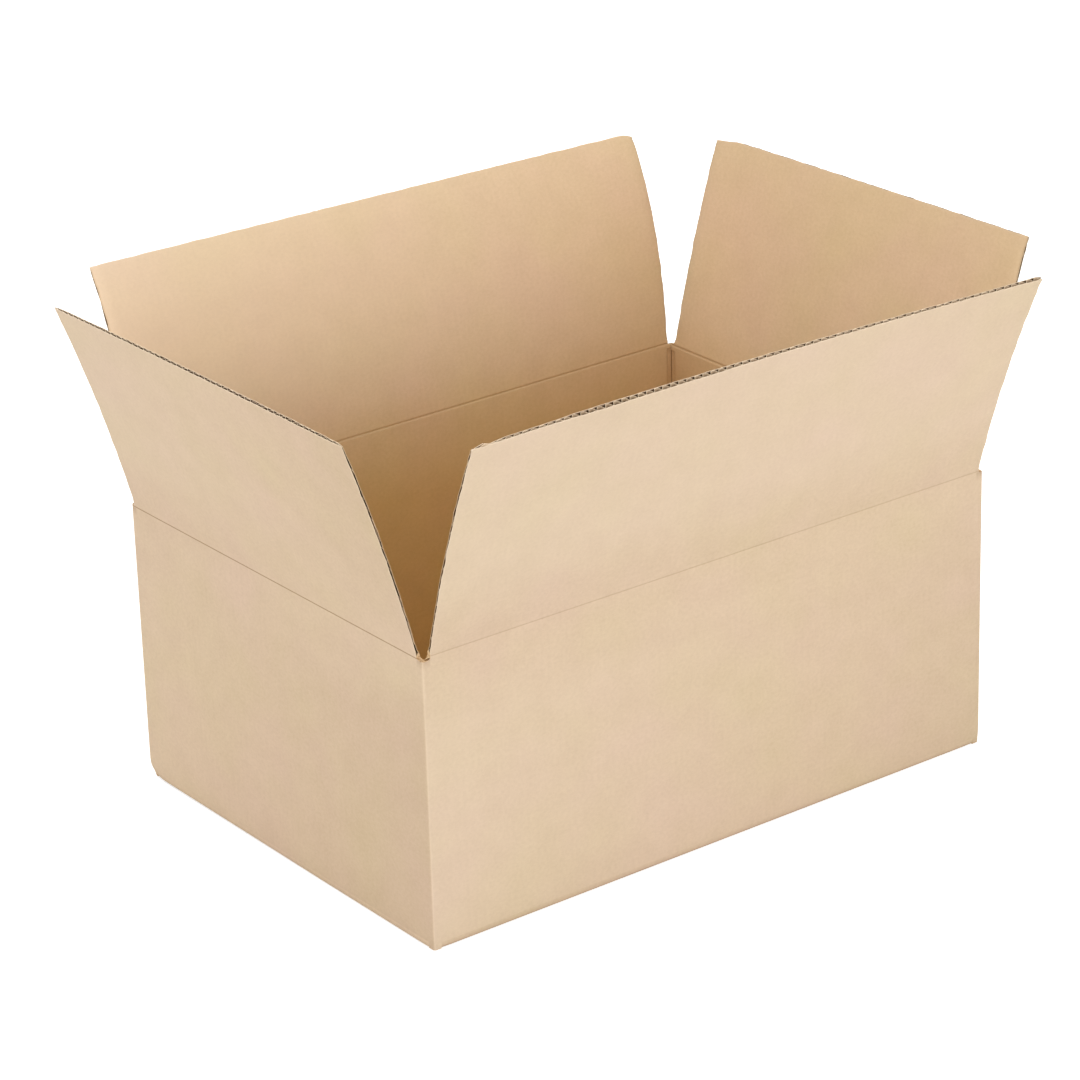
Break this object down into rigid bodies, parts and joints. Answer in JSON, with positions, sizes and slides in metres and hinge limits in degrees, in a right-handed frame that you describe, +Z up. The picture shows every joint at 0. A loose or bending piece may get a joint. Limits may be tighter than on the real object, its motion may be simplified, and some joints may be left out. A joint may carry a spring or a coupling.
{
  "type": "open cardboard box",
  "caption": "Rectangular slotted carton of plain corrugated board, standing open with its four top flaps leaning outwards; the flaps fold shut over the opening.",
  "frame": {"origin": "middle of the underside that the carton stands on", "axes": "+X along the long walls, +Y from the front long wall to the back one, +Z up out of the opening"},
  "size_m": [0.6954, 0.5304, 0.4408],
  "materials": {
    "kraft_board": "plain uncoated brown kraft liner, matt, with fluted cut edges"
  },
  "bodies": {
    "carton": {"carton_body": "kraft_board"},
    "front_flap": {"flap_front": "kraft_board"},
    "back_flap": {"flap_back": "kraft_board"},
    "left_flap": {"flap_left": "kraft_board"},
    "right_flap": {"flap_right": "kraft_board"}
  },
  "joints": [
    {"name": "front_flap_fold", "type": "hinge", "parent": "carton", "child": "front_flap", "pos_m": [0, -0.205, 0.251], "axis": [1, 0, 0], "range_deg": [-107.7, 142.3]},
    {"name": "back_flap_fold", "type": "hinge", "parent": "carton", "child": "back_flap", "pos_m": [0, 0.205, 0.251], "axis": [-1, 0, 0], "range_deg": [-107.7, 142.3]},
    {"name": "left_flap_fold", "type": "hinge", "parent": "carton", "child": "left_flap", "pos_m": [-0.2875, 0, 0.2466], "axis": [0, -1, 0], "range_deg": [-107.7, 142.3]},
    {"name": "right_flap_fold", "type": "hinge", "parent": "carton", "child": "right_flap", "pos_m": [0.2875, 0, 0.2466], "axis": [0, 1, 0], "range_deg": [-107.7, 142.3]}
  ]
}
